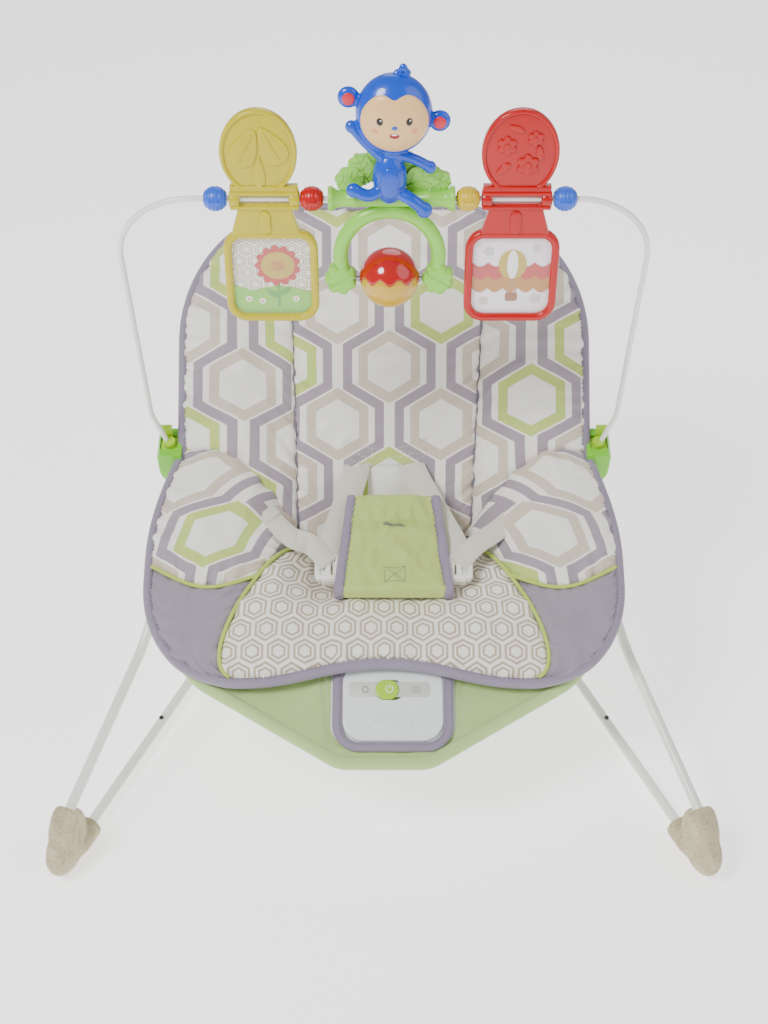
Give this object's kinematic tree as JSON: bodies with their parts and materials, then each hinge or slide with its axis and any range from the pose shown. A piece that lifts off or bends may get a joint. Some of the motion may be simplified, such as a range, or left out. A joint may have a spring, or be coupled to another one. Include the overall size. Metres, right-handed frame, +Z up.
{
  "type": "bouncer seat",
  "caption": "Infant bouncer seat: springy wire base, padded hammock seat with harness, clip-on toy bar with spinning toys and a slide-switch soothing unit.",
  "frame": {"origin": "on the floor under the middle of the seat's outline", "axes": "+Z up, +X to the right seen from the front, the seat faces -Y"},
  "size_m": [0.6028, 0.4874, 0.6739],
  "materials": {
    "white_tube": "gloss powder coat",
    "steel": "zinc plated",
    "black_plastic": "matte",
    "taupe_rubber": "soft matte, scuffed",
    "clamp_green": "satin moulded",
    "plug_green": "satin moulded",
    "pad_print": "printed hexagons on brushed polyester",
    "sling_green": "plain weave",
    "crotch_green": "plain weave, padded",
    "webbing": "ribbed webbing",
    "white_plastic": "fine satin",
    "buckle_white": "satin",
    "knob_green": "gloss",
    "battery_jacket": "printed jacket",
    "toy_yellow": "gloss",
    "toy_red": "gloss",
    "card_print": "printed card",
    "clear_window": "clear plastic",
    "toy_green": "satin",
    "toy_blue": "gloss",
    "toy_tan": "satin paint",
    "bead_blue": "gloss",
    "bead_yellow": "gloss"
  },
  "bodies": {
    "base": {"floor_wire_left": "white_tube", "floor_wire_right": "white_tube", "rear_tube": "white_tube", "floor_spigots": "steel", "snap_buttons": "black_plastic", "rear_feet": "taupe_rubber", "front_boot_left": "taupe_rubber", "front_boot_right": "taupe_rubber"},
    "seat": {"leg_tube_left": "white_tube", "leg_tube_right": "white_tube", "back_tube": "white_tube", "seat_tube": "white_tube", "leg_spigots": "steel", "clamp_outer_left": "clamp_green", "clamp_outer_right": "clamp_green", "clamp_inner_halves": "clamp_green", "pad_back": "pad_print", "pad_seat": "pad_print", "sling_back": "sling_green", "sling_seat": "sling_green", "sling_front": "sling_green", "sling_hem": "sling_green", "unit_front_cover": "white_plastic", "unit_rear_cover": "white_plastic", "screws": "steel", "battery_door": "white_plastic", "battery_cell": "battery_jacket", "battery_contacts": "steel", "vibration_motor": "steel", "power_switch": "black_plastic", "crotch_pad": "crotch_green", "crotch_strap": "webbing", "buckle_socket": "buckle_white", "waist_strap_left": "webbing", "waist_strap_right": "webbing"},
    "toy_bar": {"toy_bar_wire": "white_tube", "bar_plug_left": "plug_green", "bar_plug_right": "plug_green"},
    "latch_left": {"latch_tab_left": "plug_green"},
    "latch_right": {"latch_tab_right": "plug_green"},
    "yellow_flap": {"yellow_flap": "toy_yellow", "yellow_card": "card_print", "yellow_window": "clear_window"},
    "red_flap": {"red_flap": "toy_red", "red_card": "card_print", "red_window": "clear_window"},
    "monkey_toy": {"toy_arch": "toy_green", "monkey_figure": "toy_blue", "monkey_face": "toy_tan", "ball_axle": "steel"},
    "ball": {"ball_top": "toy_red", "ball_bottom": "bead_yellow"},
    "bead_blue_left": {"bead_blue_left": "bead_blue"},
    "bead_red": {"bead_red": "toy_red"},
    "bead_yellow": {"bead_yellow": "bead_yellow"},
    "bead_blue_right": {"bead_blue_right": "bead_blue"},
    "power_slider": {"power_slider": "knob_green"},
    "motor_weight": {"eccentric_weight": "steel"},
    "buckle_left": {"buckle_tongue_left": "buckle_white"},
    "buckle_right": {"buckle_tongue_right": "buckle_white"}
  },
  "joints": [
    {"name": "bounce", "type": "hinge", "parent": "base", "child": "seat", "pos_m": [0, -0.20991, 0.037], "axis": [1, 0, 0], "range_deg": [-6, 2], "stiffness_Nm_per_rad": 260, "springref_deg": 1.03, "deforming": ["front_boot_left", "front_boot_right"]},
    {"name": "toy_bar_lift", "type": "slide", "parent": "seat", "child": "toy_bar", "axis": [0, -0.2672, 0.9636], "range_m": [0, 0.04]},
    {"name": "latch_left_press", "type": "hinge", "parent": "toy_bar", "child": "latch_left", "pos_m": [-0.209, 0.07264, 0.25623], "axis": [1, 0, 0], "range_deg": [0, 5], "stiffness_Nm_per_rad": 0.6, "springref_deg": -1.15},
    {"name": "latch_right_press", "type": "hinge", "parent": "toy_bar", "child": "latch_right", "pos_m": [0.209, 0.07264, 0.25623], "axis": [1, 0, 0], "range_deg": [0, 5], "stiffness_Nm_per_rad": 0.6, "springref_deg": -1.15},
    {"name": "yellow_flap_swing", "type": "hinge", "parent": "toy_bar", "child": "yellow_flap", "pos_m": [0, -0.02033, 0.56491], "axis": [1, 0, 0], "continuous": true},
    {"name": "red_flap_swing", "type": "hinge", "parent": "toy_bar", "child": "red_flap", "pos_m": [0, -0.02033, 0.56491], "axis": [1, 0, 0], "continuous": true},
    {"name": "monkey_swing", "type": "hinge", "parent": "toy_bar", "child": "monkey_toy", "pos_m": [0, -0.02033, 0.56491], "axis": [1, 0, 0], "continuous": true},
    {"name": "ball_spin", "type": "hinge", "parent": "monkey_toy", "child": "ball", "pos_m": [0.0045, -0.02033, 0.49391], "axis": [1, 0, 0], "continuous": true},
    {"name": "bead_blue_left_spin", "type": "hinge", "parent": "toy_bar", "child": "bead_blue_left", "pos_m": [0, -0.02033, 0.56491], "axis": [1, 0, 0], "continuous": true},
    {"name": "bead_red_spin", "type": "hinge", "parent": "toy_bar", "child": "bead_red", "pos_m": [0, -0.02033, 0.56491], "axis": [1, 0, 0], "continuous": true},
    {"name": "bead_yellow_spin", "type": "hinge", "parent": "toy_bar", "child": "bead_yellow", "pos_m": [0, -0.02033, 0.56491], "axis": [1, 0, 0], "continuous": true},
    {"name": "bead_blue_right_spin", "type": "hinge", "parent": "toy_bar", "child": "bead_blue_right", "pos_m": [0, -0.02033, 0.56491], "axis": [1, 0, 0], "continuous": true},
    {"name": "power_slide", "type": "slide", "parent": "seat", "child": "power_slider", "axis": [1, 0, 0], "range_m": [0, 0.0044]},
    {"name": "motor_spin", "type": "hinge", "parent": "seat", "child": "motor_weight", "pos_m": [0.022, -0.16144, 0.10255], "axis": [1, 0, 0], "continuous": true},
    {"name": "buckle_left_release", "type": "slide", "parent": "seat", "child": "buckle_left", "axis": [-1, 0, 0], "range_m": [0, 0.015], "deforming": ["waist_strap_left"]},
    {"name": "buckle_right_release", "type": "slide", "parent": "seat", "child": "buckle_right", "axis": [1, 0, 0], "range_m": [0, 0.015], "deforming": ["waist_strap_right"]}
  ]
}
